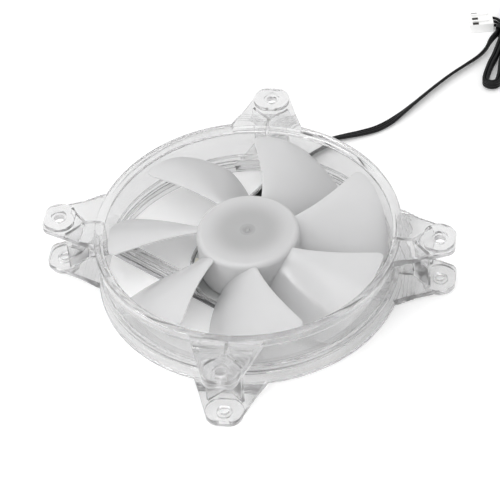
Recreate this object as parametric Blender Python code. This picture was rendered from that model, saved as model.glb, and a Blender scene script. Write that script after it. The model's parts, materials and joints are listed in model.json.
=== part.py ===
"""Axial case fan: a clear one-piece frame, a frosted seven-blade impeller and its brushless motor.

The fan lies on its rear face. The origin is the centre of that face, +Z is the rotor's axis and
points out of the intake, and the sides of the square that the screw ears fill lie along X and Y.
"""

import math

import bmesh
import bpy
from mathutils import Matrix, Vector

MM = 0.001
GAP = 0.3 * MM  # between two pieces that touch on the real fan

# Frame, overall
FAN_WIDTH = 120 * MM
FAN_DEPTH = 25 * MM
HOLE_INSET = 7.5 * MM  # screw hole's centre to the side of the square
SCREW_HOLE_R = 2.15 * MM
COUNTERBORE_R = 2.9 * MM
COUNTERBORE_DEPTH = 0.9 * MM

# Barrel and flanges
RIM_MARGIN = 0.4 * MM  # flange rim to the side of the square
RIM_WALL = 3.6 * MM
BARREL_WALL = 1.6 * MM
FLANGE_THICK = 4.0 * MM
LIP = 1.1 * MM  # bevel where the bore meets each face
RIM_BEVEL = 0.5 * MM
RIM_STEP = 0.35 * MM  # the rear flange is a little narrower over its inner half
RIDGE_Z = 6.4 * MM
RIDGE_THICK = 2.3 * MM
RIDGE_STEP = 0.8 * MM  # flange rim to the ridge's rim
GROOVE_THICK = 1.3 * MM
GROOVE_STEP = 0.5 * MM  # barrel's side to the groove's floor
BARREL_SIDES = 84

# Screw ears, measured along and across the diagonal from the hole's centre
EAR_THICK = 3.6 * MM
EAR_TIP = 6.1 * MM
EAR_HALF_WIDTH = 7.9 * MM
EAR_FLARE = 0.38  # how fast the flanks open towards the barrel
EAR_CORNER_R = 3.9 * MM
PAD_INSET = 0.5 * MM
PAD_BACK = 6.2 * MM
PAD_BACK_HALF = 4.6 * MM
PAD_WIDEST = 1.0 * MM
PAD_CORNER_R = 3.4 * MM
TERRACES = 5
TERRACE_START = 0.6 * MM
TERRACE_PITCH = 1.6 * MM
TERRACE_DROP = 0.34 * MM

# Y-shaped web between the two ears of a corner
WEB_THICK = 1.2 * MM
WEB_FORK_INSET = 7.4 * MM  # fork to the hole's centre, along X and along Y
WEB_LEG = 9.6 * MM

# Struts and motor seat
STRUTS = 4
STRUT_OFFSET = 21.0 * MM  # strut's centre line to the rotor's axis
STRUT_ANGLE = 14.8  # degrees, of the first strut's foot
STRUT_WIDTH = 6.6 * MM
STRUT_BASE = 1.4 * MM
STRUT_HEIGHT = 3.6 * MM
STRUT_RIB = 0.9 * MM
STRUT_LIFT = 0.4 * MM
SEAT_MARGIN = 3.8 * MM  # the motor seat's rim beyond the hub
SEAT_WALL = 0.9 * MM
SEAT_FLOOR = 2.0 * MM
SEAT_HEIGHT = 4.3 * MM
SEAT_LIFT = 0.2 * MM
LABEL_R = 18.5 * MM
LABEL_THICK = 0.3 * MM
CABLE_STRUT = 3  # the strut whose channel carries the cable

# Bearing
SHAFT_R = 1.5 * MM
SLEEVE_WALL = 1.3 * MM
TUBE_WALL = 0.9 * MM
TUBE_TOP = 16.0 * MM
BOSS_WALL = 1.5 * MM
BOSS_TOP = 6.0 * MM
CAP_THICK = 0.8 * MM
CLIP_THICK = 0.5 * MM
CLIP_WIDTH = 1.1 * MM
CLIP_FOOT = 0.9 * MM  # shaft's end to the clip
CLIP_NECK = 0.4 * MM  # depth of the shaft's groove
SEAL_THICK = 0.5 * MM

# Circuit board
BOARD_THICK = 1.0 * MM
LED_LONG = 3.0 * MM
LED_SHORT = 1.4 * MM
LED_HEIGHT = 0.7 * MM
LEDS = 4
CHIP_SIZE = 3.0 * MM
CHIP_HEIGHT = 1.1 * MM

# Stator
POLES = 4
POLE_WIDTH = 3.0 * MM
CORE_RING = 1.7 * MM
CORE_Z = 8.4 * MM
CORE_HEIGHT = 4.8 * MM
SHOE_THICK = 1.5 * MM
SHOE_SPAN = 72.0  # degrees
INSULATOR_THICK = 0.6 * MM
COIL_THICK = 1.3 * MM
AIR_GAP = 0.5 * MM

# Rotor
HUB_R = 20.0 * MM
HUB_WALL = 1.4 * MM
HUB_TOP_WALL = 1.6 * MM
HUB_TOP_INSET = 1.7 * MM  # intake face to the hub's top
HUB_FILLET = 2.3 * MM
HUB_SKIRT = 4.9 * MM
HUB_RIBS = 8
HUB_RIB_Z = 8.0 * MM
HUB_BOSS_Z = 17.0 * MM
HUB_BOSS_WALL = 1.3 * MM
HUB_RIB_THICK = 1.0 * MM
HUB_DIMPLE_R = 2.4 * MM
HUB_DIMPLE_DEPTH = 0.4 * MM
HUB_SIDES = 56
YOKE_R = 14.4 * MM
YOKE_WALL = 0.8 * MM
YOKE_Z = 5.8 * MM
MAGNET_THICK = 1.1 * MM
MAGNET_Z = 6.6 * MM
MAGNET_HEIGHT = 9.5 * MM

# Blades, in degrees behind the first blade's leading tip
BLADES = 7
BLADE_PHASE = -1.2
BLADE_SWEEP = 13.0  # leading edge's root behind its tip
BLADE_SWEEP_POWER = 1.3
BLADE_TIP_CHORD = 38.8
BLADE_ROOT_CHORD = 43.6
BLADE_CAMBER_POWER = 2.2
BLADE_ROOT_CAMBER_POWER = 1.5
TIP_CLEARANCE = 1.6 * MM
BLADE_TOP_INSET = 3.4 * MM  # intake face to the leading edge
BLADE_BOTTOM = 5.7 * MM
BLADE_ROOT_THICK = 1.9 * MM
BLADE_TIP_THICK = 1.2 * MM
BLADE_EDGE_THICK = 0.55 * MM
BLADE_CORNER = 3.0 * MM
BLADE_STATIONS = 9
BLADE_STEPS = 9

# Cable: a flat ribbon of three wires, whose route is in millimetres and its tilt in degrees
CABLE_WIDTH = 3.8 * MM
CABLE_THICK = 1.3 * MM
CABLE_STEPS = 50
CABLE_ROUTE = (
    (61.0, 37.8, 2.1, 0),
    (65.5, 38.2, 0.95, 0),
    (70.5, 37.5, 0.8, 0),
    (76.0, 35.4, 0.8, 0),
    (82.5, 32.6, 0.8, 0),
    (89.0, 30.5, 0.8, -5),
    (95.5, 29.9, 1.1, -18),
    (102.5, 30.4, 1.6, -35),
    (110.0, 31.5, 1.9, -48),
    (118.0, 32.9, 2.0, -52),
    (126.0, 34.2, 2.0, -52),
    (134.0, 35.2, 2.0, -52),
    (142.0, 35.7, 2.0, -52),
    (149.5, 36.2, 2.0, -60),
    (155.0, 37.4, 2.4, -74),
    (160.0, 39.9, 2.8, -88),
)

# Hank: the cable's unseen length folded and tied, lying on the floor
HANK_AT = (146.0 * MM, 20.5 * MM)
HANK_ANGLE = 37.0
HANK_LENGTH = 50.0 * MM  # between the centres of its round ends
HANK_WIDTH = 11.0 * MM
HANK_HEIGHT = 4.2 * MM
HANK_Z = 0.8 * MM
TIE_WIDTH = 2.4 * MM
TIE_THICK = 0.4 * MM
TIE_ROUND = 0.8 * MM
TIE_PLACE = 0.6  # of the way from the near fold

# Connector, and the tail of the hank that its wires make
CONNECTOR_AT = (161.0 * MM, 54.6 * MM)
CONNECTOR_ANGLE = -34.0
CONNECTOR_LONG = 9.8 * MM
CONNECTOR_WIDTH = 7.8 * MM
CONNECTOR_HEIGHT = 4.6 * MM
CONTACT_PITCH = 2.54 * MM
CELL = 1.5 * MM
CELL_DEPTH = 6.0 * MM
RAIL = 0.9 * MM
RAIL_SPREAD = 4.2 * MM
TAIL_THICK = 1.4 * MM

# Sizes that follow from the ones above
flange_r = FAN_WIDTH / 2 - RIM_MARGIN
bore_r = flange_r - RIM_WALL
barrel_r = bore_r + BARREL_WALL
hole_at = FAN_WIDTH / 2 - HOLE_INSET
hole_r = hole_at * math.sqrt(2)
tip_r = bore_r - TIP_CLEARANCE
sleeve_in_r = SHAFT_R + GAP
sleeve_r = sleeve_in_r + SLEEVE_WALL
tube_in_r = sleeve_r + GAP
tube_r = tube_in_r + TUBE_WALL
boss_in_r = tube_r + GAP
boss_r = boss_in_r + BOSS_WALL
seat_r = HUB_R + SEAT_MARGIN
seat_in_r = seat_r - SEAT_WALL
label_z = SEAT_LIFT + 0.1 * MM
recess_top = label_z + LABEL_THICK + GAP
cap_z = recess_top
tube_z = cap_z + CAP_THICK + GAP
board_z = SEAT_FLOOR + GAP
board_top = board_z + BOARD_THICK
board_r = seat_in_r - GAP
board_in_r = boss_r + GAP
hub_top = FAN_DEPTH - HUB_TOP_INSET
hub_under = hub_top - HUB_TOP_WALL
yoke_top = hub_under - GAP
yoke_in_r = YOKE_R - YOKE_WALL
magnet_r = yoke_in_r - GAP
magnet_in_r = magnet_r - MAGNET_THICK
shoe_r = magnet_in_r - AIR_GAP
core_in_r = tube_r + GAP
core_ring_r = core_in_r + CORE_RING
core_top = CORE_Z + CORE_HEIGHT
lead_z = SEAT_FLOOR + GAP
strut_reach = math.sqrt(barrel_r**2 - STRUT_OFFSET**2)
hub_boss_r = sleeve_in_r + HUB_BOSS_WALL
neck_r = SHAFT_R - CLIP_NECK
shaft_z = cap_z + CAP_THICK + GAP
clip_z = shaft_z + CLIP_FOOT
shoe_in_r = shoe_r - SHOE_THICK
lead_top = lead_z + CABLE_THICK
lead_start = 6.3 * MM
lead_end = strut_reach - 2 * MM
channel_end = lead_end + 12 * MM  # where the cable is clear of the ear beside its strut
TURN = 2 * math.pi


# ---- helpers ----


def make_material(name, colour, roughness, metallic=0.0, alpha=1.0):
    material = bpy.data.materials.new(name)
    material.use_nodes = True
    shader = material.node_tree.nodes["Principled BSDF"]
    shader.inputs["Base Color"].default_value = (*colour, 1.0)
    shader.inputs["Roughness"].default_value = roughness
    shader.inputs["Metallic"].default_value = metallic
    shader.inputs["Alpha"].default_value = alpha
    return material


def add_object(name, bm, material=None):
    """The bmesh as an object, its faces turned outwards and its round faces smooth."""
    bmesh.ops.recalc_face_normals(bm, faces=bm.faces)
    mesh = bpy.data.meshes.new(name)
    bm.to_mesh(mesh)
    bm.free()
    mesh.shade_smooth()
    mesh.set_sharp_from_angle(angle=math.radians(35))
    obj = bpy.data.objects.new(name, mesh)
    bpy.context.scene.collection.objects.link(obj)
    if material:
        mesh.materials.append(material)
    return obj


def helper_collection(name):
    collection = bpy.data.collections.new(name)
    bpy.context.scene.collection.children.link(collection)
    collection.hide_render = True
    return collection


def hide_in(collection, obj):
    """A piece that only feeds a Boolean: a wire that isn't rendered."""
    bpy.context.scene.collection.objects.unlink(obj)
    collection.objects.link(obj)
    obj.hide_render = True
    obj.display_type = "WIRE"
    return obj


def add_boolean(obj, operation, collection):
    modifier = obj.modifiers.new(operation.title(), "BOOLEAN")
    modifier.operation = operation
    modifier.operand_type = "COLLECTION"
    modifier.collection = collection
    modifier.solver = "EXACT"


def turned(profile, sides):
    """The closed outline of (r, z) points turned round Z; a side that lies on the axis makes no face."""
    bm = bmesh.new()
    points = [bm.verts.new((r, 0, z)) for r, z in profile]
    pairs = zip(points, points[1:] + points[:1])
    edges = [bm.edges.new(pair) for pair in pairs if pair[0].co.x > 0 or pair[1].co.x > 0]
    geom = points + edges
    bmesh.ops.spin(bm, geom=geom, axis=(0, 0, 1), cent=(0, 0, 0), angle=TURN, steps=sides)
    bmesh.ops.remove_doubles(bm, verts=bm.verts, dist=1e-6)
    return bm


def ring(r_in, r_out, z0, z1, sides):
    return turned([(r_in, z0), (r_out, z0), (r_out, z1), (r_in, z1)], sides)


def prism(outline, z0, z1, bm=None):
    """The (x, y) outline raised from z0 to z1."""
    bm = bm or bmesh.new()
    face = bm.faces.new([bm.verts.new((x, y, z0)) for x, y in outline])
    raised = bmesh.ops.extrude_face_region(bm, geom=[face])["geom"]
    tops = [v for v in raised if isinstance(v, bmesh.types.BMVert)]
    bmesh.ops.translate(bm, verts=tops, vec=(0, 0, z1 - z0))
    return bm


def circle(radius, sides):
    return [(radius * math.cos(TURN * k / sides), radius * math.sin(TURN * k / sides)) for k in range(sides)]


def disc(radius, z0, z1, sides):
    return prism(circle(radius, sides), z0, z1)


def arc(radius, first, last, steps):
    """Points round the origin from one angle to another, in degrees."""
    angles = [math.radians(first + (last - first) * k / steps) for k in range(steps + 1)]
    return [(radius * math.cos(angle), radius * math.sin(angle)) for angle in angles]


def box(x0, x1, y0, y1, z0, z1):
    return prism([(x0, y0), (x1, y0), (x1, y1), (x0, y1)], z0, z1)


def rounded(corners, steps=5):
    """The polygon of (x, y, radius) corners, each rounded by an arc of its radius."""
    points = []
    count = len(corners)
    for k, (x, y, radius) in enumerate(corners):
        here = Vector((x, y))
        if radius <= 0:
            points.append((x, y))
            continue
        before = (Vector(corners[k - 1][:2]) - here).normalized()
        after = (Vector(corners[(k + 1) % count][:2]) - here).normalized()
        half = before.angle(after) / 2
        centre = here + (before + after).normalized() * (radius / math.sin(half))
        start = here + before * (radius / math.tan(half)) - centre
        end = here + after * (radius / math.tan(half)) - centre
        first = math.atan2(start.y, start.x)
        sweep = (math.atan2(end.y, end.x) - first + math.pi) % TURN - math.pi
        for step in range(steps + 1):
            angle = first + sweep * step / steps
            points.append((centre.x + radius * math.cos(angle), centre.y + radius * math.sin(angle)))
    return points


def rectangle(half, radius):
    """A rectangle with rounded corners, as an outline round the origin."""
    x, y = half
    return rounded([(-x, -y, radius), (x, -y, radius), (x, y, radius), (-x, y, radius)], 3)


def sleeve(outer, inner, z0, z1):
    """A tube between two outlines that have the same number of points."""
    bm = bmesh.new()
    rings = [[bm.verts.new((x, y, z)) for x, y in outline] for outline in (outer, inner) for z in (z0, z1)]
    outer_low, outer_high, inner_low, inner_high = rings
    count = len(outer)
    loop = (outer_low, outer_high, inner_high, inner_low, outer_low)
    for first, second in zip(loop, loop[1:]):
        for k in range(count):
            bm.faces.new((first[k - 1], first[k], second[k], second[k - 1]))
    return bm


def move(bm, matrix):
    bmesh.ops.transform(bm, matrix=matrix, verts=bm.verts)
    return bm


def spin_z(degrees):
    return Matrix.Rotation(math.radians(degrees), 4, "Z")


def upright(x, z):
    """From an outline's plane to one across the X axis, its second axis up."""
    return Matrix(((0, 0, 1, x), (1, 0, 0, 0), (0, 1, 0, z), (0, 0, 0, 1)))


# ---- frame ----


def barrel_profile():
    """The rim's section: two flanges, a ridge between two grooves, and a plain bore."""
    ridge_top = RIDGE_Z + RIDGE_THICK
    groove_top = ridge_top + GROOVE_THICK
    ridge_r = flange_r - RIDGE_STEP
    groove_r = barrel_r - GROOVE_STEP
    upper = FAN_DEPTH - FLANGE_THICK
    half = FLANGE_THICK / 2
    return [
        (bore_r + LIP, 0),
        (flange_r - RIM_BEVEL, 0),
        (flange_r, RIM_BEVEL),
        (flange_r, half),
        (flange_r - RIM_STEP, half),
        (flange_r - RIM_STEP, FLANGE_THICK),
        (groove_r, FLANGE_THICK),
        (groove_r, RIDGE_Z),
        (ridge_r, RIDGE_Z),
        (ridge_r, ridge_top),
        (groove_r, ridge_top),
        (groove_r, groove_top),
        (barrel_r, groove_top),
        (barrel_r, upper),
        (flange_r, upper),
        (flange_r, FAN_DEPTH - RIM_BEVEL),
        (flange_r - RIM_BEVEL, FAN_DEPTH),
        (bore_r + LIP, FAN_DEPTH),
        (bore_r, FAN_DEPTH - LIP),
        (bore_r, LIP),
    ]


def to_corner(corner):
    """From an ear's own axes, x along the diagonal from the hole, to its corner of the frame."""
    return spin_z(45 + 90 * corner) @ Matrix.Translation((hole_r, 0, 0))


def turned_over(bm):
    """The same piece for the other face of the fan, turned over about its diagonal."""
    middle = Matrix.Translation((0, 0, FAN_DEPTH / 2))
    return move(bm, middle @ Matrix.Rotation(math.pi, 4, "X") @ middle.inverted())


def both_faces(make, corner, name, collection):
    """A piece at this corner's upper ear and at its lower one."""
    for face, level in enumerate(("upper", "lower")):
        bm = make()
        if face:
            turned_over(bm)
        hide_in(collection, add_object(f"{name}_{level}_{corner}", move(bm, to_corner(corner))))


def ear_plate():
    back = hole_r - bore_r - BARREL_WALL / 2
    back_half = EAR_HALF_WIDTH + EAR_FLARE * back
    tip_half = EAR_HALF_WIDTH - EAR_FLARE * EAR_TIP
    corners = [
        (-back, -back_half, 0),
        (EAR_TIP, -tip_half, EAR_CORNER_R),
        (EAR_TIP, tip_half, EAR_CORNER_R),
        (-back, back_half, 0),
    ]
    return prism(rounded(corners), FAN_DEPTH - EAR_THICK, FAN_DEPTH - TERRACE_DROP)


def ear_pad():
    """The raised seat for a screw's head on an ear's tip."""
    tip = EAR_TIP - PAD_INSET
    tip_half = EAR_HALF_WIDTH - EAR_FLARE * EAR_TIP - PAD_INSET
    corners = [
        (-PAD_BACK, -PAD_BACK_HALF, PAD_CORNER_R),
        (-PAD_WIDEST, -EAR_HALF_WIDTH, PAD_CORNER_R),
        (tip, -tip_half, PAD_CORNER_R),
        (tip, tip_half, PAD_CORNER_R),
        (-PAD_WIDEST, EAR_HALF_WIDTH, PAD_CORNER_R),
        (-PAD_BACK, PAD_BACK_HALF, PAD_CORNER_R),
    ]
    return prism(rounded(corners, 3), FAN_DEPTH - EAR_THICK / 2, FAN_DEPTH)


def stairs():
    """The space over an ear's terraces, which step down from the barrel to the pad."""
    x = flange_r - hole_r + TERRACE_START
    z = FAN_DEPTH - TERRACE_DROP
    outline = [(x, FAN_DEPTH + 1 * MM)]
    for _ in range(TERRACES - 1):
        outline += [(x, z), (x, z - TERRACE_DROP)]
        x += TERRACE_PITCH
        z -= TERRACE_DROP
    outline = [outline[0]] + outline[2:]
    outline += [(2 * EAR_TIP, z), (2 * EAR_TIP, FAN_DEPTH + 1 * MM)]
    reach = 3 * EAR_HALF_WIDTH
    bm = prism([(x, -z) for x, z in outline], -reach, reach)
    return move(bm, Matrix.Rotation(math.radians(-90), 4, "X"))


def counterbore():
    return disc(COUNTERBORE_R, FAN_DEPTH - COUNTERBORE_DEPTH, FAN_DEPTH + 1 * MM, 24)


def web_pieces(corner, collection):
    """The upright Y between a corner's two ears: a stem on the diagonal and a leg along each side."""
    fork = hole_at - WEB_FORK_INSET
    half = WEB_THICK / 2
    z0 = EAR_THICK / 2
    z1 = FAN_DEPTH - EAR_THICK / 2
    stem = box(bore_r + BARREL_WALL / 2, fork * math.sqrt(2) + half, -half, half, z0, z1)
    leg_x = box(fork - half, fork + WEB_LEG, fork - half, fork + half, z0, z1)
    leg_y = box(fork - half, fork + half, fork - half, fork + WEB_LEG, z0, z1)
    hide_in(collection, add_object(f"stem_{corner}", move(stem, spin_z(45 + 90 * corner))))
    hide_in(collection, add_object(f"leg_x_{corner}", move(leg_x, spin_z(90 * corner))))
    hide_in(collection, add_object(f"leg_y_{corner}", move(leg_y, spin_z(90 * corner))))


def to_strut(index):
    """From a strut's own axes, x out along it and y away from the rotor's axis, to its place."""
    foot = Matrix.Rotation(math.radians(STRUT_ANGLE + 90), 4, "Z")
    return spin_z(360 / STRUTS * index) @ foot @ Matrix.Translation((0, STRUT_OFFSET, 0))


def strut(with_middle_rib):
    """A strut: a base with ribs along it, whose end follows the barrel's wall."""
    half = STRUT_WIDTH / 2
    floor = STRUT_LIFT + STRUT_BASE
    inner = half - STRUT_RIB
    section = [(-half, STRUT_LIFT), (half, STRUT_LIFT), (half, STRUT_HEIGHT), (inner, STRUT_HEIGHT)]
    section.append((inner, floor))
    if with_middle_rib:
        middle = STRUT_RIB / 2
        section += [(middle, floor), (middle, STRUT_HEIGHT), (-middle, STRUT_HEIGHT), (-middle, floor)]
    section += [(-inner, floor), (-inner, STRUT_HEIGHT), (-half, STRUT_HEIGHT)]
    bm = bmesh.new()
    end_r = bore_r + BARREL_WALL / 3
    near = [bm.verts.new((-STRUT_WIDTH / 3, y, z)) for y, z in section]
    far = [bm.verts.new((math.sqrt(end_r**2 - (STRUT_OFFSET + y) ** 2), y, z)) for y, z in section]
    bm.faces.new(near)
    bm.faces.new(far)
    for k in range(len(section)):
        bm.faces.new((near[k - 1], near[k], far[k], far[k - 1]))
    return bm


def cable_window():
    """The way of the cable out of the motor's seat and through the barrel, along its strut."""
    half = STRUT_WIDTH / 2 - STRUT_RIB
    inner = box(seat_in_r / 4, seat_in_r * 0.75, -half, half, SEAT_FLOOR, lead_top + GAP)
    outer_x0 = math.sqrt(bore_r**2 - (STRUT_OFFSET + half) ** 2) - 2 * BARREL_WALL
    outer = box(outer_x0, channel_end, -half, half, SEAT_FLOOR, lead_top + 2 * GAP)
    return inner, outer


def build_frame(material):
    """The frame is one moulding: the rim, eight ears, four webs, the struts and the motor's seat."""
    frame = add_object("clear_frame", turned(barrel_profile(), BARREL_SIDES), material)
    body = helper_collection("frame_body")
    cuts = helper_collection("frame_cuts")
    raised = helper_collection("frame_raised")
    holes = helper_collection("frame_holes")
    for corner in range(4):
        both_faces(ear_plate, corner, "ear", body)
        both_faces(stairs, corner, "stairs", cuts)
        both_faces(ear_pad, corner, "pad", raised)
        both_faces(counterbore, corner, "counterbore", holes)
        web_pieces(corner, body)
        hole = move(disc(SCREW_HOLE_R, -1 * MM, FAN_DEPTH + 1 * MM, 24), to_corner(corner))
        hide_in(holes, add_object(f"screw_hole_{corner}", hole))
    for index in range(STRUTS):
        bm = move(strut(index != CABLE_STRUT), to_strut(index))
        hide_in(body, add_object(f"strut_{index}", bm))
    hide_in(body, add_object("seat", disc(seat_r, SEAT_LIFT, SEAT_HEIGHT, 72)))
    cavity = disc(seat_in_r, SEAT_FLOOR, SEAT_HEIGHT + 2 * MM, 72)
    hide_in(cuts, add_object("seat_cavity", cavity))
    for name, bm in zip(("seat_window", "barrel_window"), cable_window()):
        hide_in(cuts, add_object(name, move(bm, to_strut(CABLE_STRUT))))
    boss = disc(boss_r, SEAT_FLOOR / 2 + SEAT_LIFT, BOSS_TOP, 36)
    hide_in(raised, add_object("boss", boss))
    hide_in(holes, add_object("boss_bore", disc(boss_in_r, -1 * MM, BOSS_TOP + 1 * MM, 36)))
    hide_in(holes, add_object("label_recess", disc(LABEL_R + GAP, -1 * MM, recess_top, 48)))
    add_boolean(frame, "UNION", body)
    add_boolean(frame, "DIFFERENCE", cuts)
    add_boolean(frame, "UNION", raised)
    add_boolean(frame, "DIFFERENCE", holes)
    return frame


# ---- motor, the part that stands still ----


def build_bearing(brass, bronze, steel, rubber):
    add_object("bearing_tube", ring(tube_in_r, tube_r, tube_z, TUBE_TOP, 32), brass)
    add_object("thrust_cap", disc(tube_r, cap_z, cap_z + CAP_THICK, 32), steel)
    sleeve_z = clip_z + CLIP_THICK + 2 * GAP
    sleeve_top = TUBE_TOP - SEAL_THICK - 2 * GAP
    add_object("sleeve_bearing", ring(sleeve_in_r, sleeve_r, sleeve_z, sleeve_top, 28), bronze)
    seal_z = sleeve_top + GAP
    add_object("oil_seal", ring(sleeve_in_r, sleeve_r, seal_z, seal_z + SEAL_THICK, 28), rubber)
    outline = arc(neck_r + GAP, 30, 330, 20) + arc(neck_r + GAP + CLIP_WIDTH, 330, 30, 20)
    add_object("retaining_clip", prism(outline, clip_z, clip_z + CLIP_THICK), steel)


def build_board(board, led_white, black):
    """The circuit board, with a slot for the cable, its lamps and its driver chip."""
    bm = ring(board_in_r, board_r, board_z, board_top, 64)
    pcb = add_object("motor_board", bm, board)
    slots = helper_collection("board_slots")
    half = STRUT_WIDTH / 2 - STRUT_RIB
    slot = box(lead_start - GAP, seat_r, -half, half, 0, 2 * board_top)
    hide_in(slots, add_object("board_slot", move(slot, to_strut(CABLE_STRUT))))
    add_boolean(pcb, "DIFFERENCE", slots)
    led_r = (HUB_R + board_r) / 2
    z = board_top + GAP
    for index in range(LEDS):
        bm = box(-LED_SHORT / 2, LED_SHORT / 2, -LED_LONG / 2, LED_LONG / 2, z, z + LED_HEIGHT)
        matrix = spin_z(45 + 360 / LEDS * index) @ Matrix.Translation((led_r, 0, 0))
        add_object(f"led_{index + 1}", move(bm, matrix), led_white)
    half = CHIP_SIZE / 2
    chip_at = Matrix.Translation(((YOKE_R + HUB_R - HUB_WALL) / 2, 0, 0))
    chip = box(-half, half, -half, half, z, z + CHIP_HEIGHT)
    add_object("driver_chip", move(chip, chip_at), black)


def core_outline(with_shoes):
    """A ring with an arm for each pole and, on the laminations, a curved shoe on each arm."""
    half = POLE_WIDTH / 2
    arm = math.degrees(math.asin(half / core_ring_r))
    neck = math.degrees(math.asin(half / shoe_in_r))
    pitch = 360 / POLES
    points = []
    for middle in (pitch * pole for pole in range(POLES)):
        if with_shoes:
            span = SHOE_SPAN / 2
            points += arc(shoe_in_r, middle - neck, middle - span, 2)
            points += arc(shoe_r, middle - span, middle + span, 8)
            points += arc(shoe_in_r, middle + span, middle + neck, 2)
        else:
            points += arc(shoe_in_r - GAP, middle - neck, middle + neck, 2)
        points += arc(core_ring_r, middle + arm, middle + pitch - arm, 3)
    return points


def build_stator(steel, insulator, copper):
    bore = helper_collection("stator_bore")
    hide_in(bore, add_object("stator_shaft_way", disc(core_in_r, 0, FAN_DEPTH, 32)))
    low = CORE_Z - GAP - INSULATOR_THICK
    layers = (
        ("stator_core", True, CORE_Z, CORE_HEIGHT, steel),
        ("insulator_lower", False, low, INSULATOR_THICK, insulator),
        ("insulator_upper", False, core_top + GAP, INSULATOR_THICK, insulator),
    )
    for name, with_shoes, z, height, material in layers:
        layer = add_object(name, prism(core_outline(with_shoes), z, z + height), material)
        add_boolean(layer, "DIFFERENCE", bore)
    inside = Vector((POLE_WIDTH / 2 + GAP, CORE_HEIGHT / 2 + INSULATOR_THICK + 2 * GAP))
    outside = inside + Vector((COIL_THICK, COIL_THICK))
    start = core_ring_r + 2 * GAP
    end = math.sqrt((shoe_in_r - GAP) ** 2 - outside.x**2)
    for pole in range(POLES):
        bm = sleeve(rectangle(outside, COIL_THICK), rectangle(inside, COIL_THICK / 4), start, end)
        move(bm, upright(0, CORE_Z + CORE_HEIGHT / 2))
        add_object(f"coil_{pole + 1}", move(bm, spin_z(360 / POLES * pole)), copper)


# ---- rotor ----


def hub_profile():
    """The hub: a cup open below, with a dimple on its top and a blind boss for the shaft."""
    fillet = [
        (HUB_R - HUB_FILLET * (1 - math.sin(a)), hub_top - HUB_FILLET * (1 - math.cos(a)))
        for a in (math.pi / 2 * k / 5 for k in range(6))
    ]
    return [
        (0, hub_top - HUB_DIMPLE_DEPTH),
        (HUB_DIMPLE_R * 0.6, hub_top - HUB_DIMPLE_DEPTH),
        (HUB_DIMPLE_R, hub_top),
        *fillet,
        (HUB_R, HUB_SKIRT),
        (HUB_R - HUB_WALL, HUB_SKIRT),
        (HUB_R - HUB_WALL, hub_under),
        (hub_boss_r, hub_under),
        (hub_boss_r, HUB_BOSS_Z),
        (sleeve_in_r, HUB_BOSS_Z),
        (sleeve_in_r, hub_under),
        (0, hub_under),
    ]


def blade_point(r, step):
    """A point of a blade's middle surface, from its leading edge (0) to its trailing edge (1)."""
    out = max(0.0, min(1.0, (r - HUB_R) / (tip_r - HUB_R)))
    lead = BLADE_PHASE - BLADE_SWEEP * (1 - out) ** BLADE_SWEEP_POWER
    trail = BLADE_PHASE - BLADE_TIP_CHORD
    trail -= (BLADE_ROOT_CHORD + BLADE_SWEEP - BLADE_TIP_CHORD) * (1 - out)
    to_edge = max(0.0, r - (tip_r - BLADE_CORNER))
    cut = BLADE_CORNER - math.sqrt(max(0.0, BLADE_CORNER**2 - to_edge**2))
    lead -= math.degrees(cut / r)
    trail += math.degrees(cut / r)
    angle = math.radians(lead + (trail - lead) * step)
    power = BLADE_ROOT_CAMBER_POWER + (BLADE_CAMBER_POWER - BLADE_ROOT_CAMBER_POWER) * out
    top = FAN_DEPTH - BLADE_TOP_INSET
    z = top - (top - BLADE_BOTTOM) * step**power
    return Vector((r * math.cos(angle), r * math.sin(angle), z))


def blade_thickness(r, step):
    out = (r - HUB_R) / (tip_r - HUB_R)
    middle = BLADE_ROOT_THICK + (BLADE_TIP_THICK - BLADE_ROOT_THICK) * out
    return BLADE_EDGE_THICK + (middle - BLADE_EDGE_THICK) * math.sin(math.pi * step**0.8) ** 0.7


def blade():
    """A blade as a grid of points on each side of its middle surface."""
    foot = HUB_R - HUB_WALL * 0.6
    plain = tip_r - BLADE_CORNER
    stations = [foot + (plain - foot) * k / BLADE_STATIONS for k in range(BLADE_STATIONS + 1)]
    stations += [plain + BLADE_CORNER * part for part in (0.5, 0.8, 1.0)]
    steps = [k / BLADE_STEPS for k in range(BLADE_STEPS + 1)]
    small = 0.001
    bm = bmesh.new()
    sides = ([], [])
    for r in stations:
        for side in sides:
            side.append([])
        for step in steps:
            here = blade_point(r, step)
            along = blade_point(r, min(1, step + small)) - blade_point(r, max(0, step - small))
            across = blade_point(r + small * MM, step) - blade_point(r - small * MM, step)
            across.z = 0
            half = blade_thickness(r, step) / 2
            normal = across.cross(along).normalized()
            for side, sign in zip(sides, (1, -1)):
                point = here + normal * (half * sign)
                reach = math.hypot(point.x, point.y)
                point.xy = point.xy * (r / reach)
                side[-1].append(bm.verts.new(point))
    upper, lower = sides
    rows, columns = len(stations), len(steps)
    for i in range(rows - 1):
        for j in range(columns - 1):
            for side in sides:
                bm.faces.new((side[i][j], side[i + 1][j], side[i + 1][j + 1], side[i][j + 1]))
        for j in (0, columns - 1):
            bm.faces.new((upper[i][j], upper[i + 1][j], lower[i + 1][j], lower[i][j]))
    for j in range(columns - 1):
        for i in (0, rows - 1):
            bm.faces.new((upper[i][j], upper[i][j + 1], lower[i][j + 1], lower[i][j]))
    return bm


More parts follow.
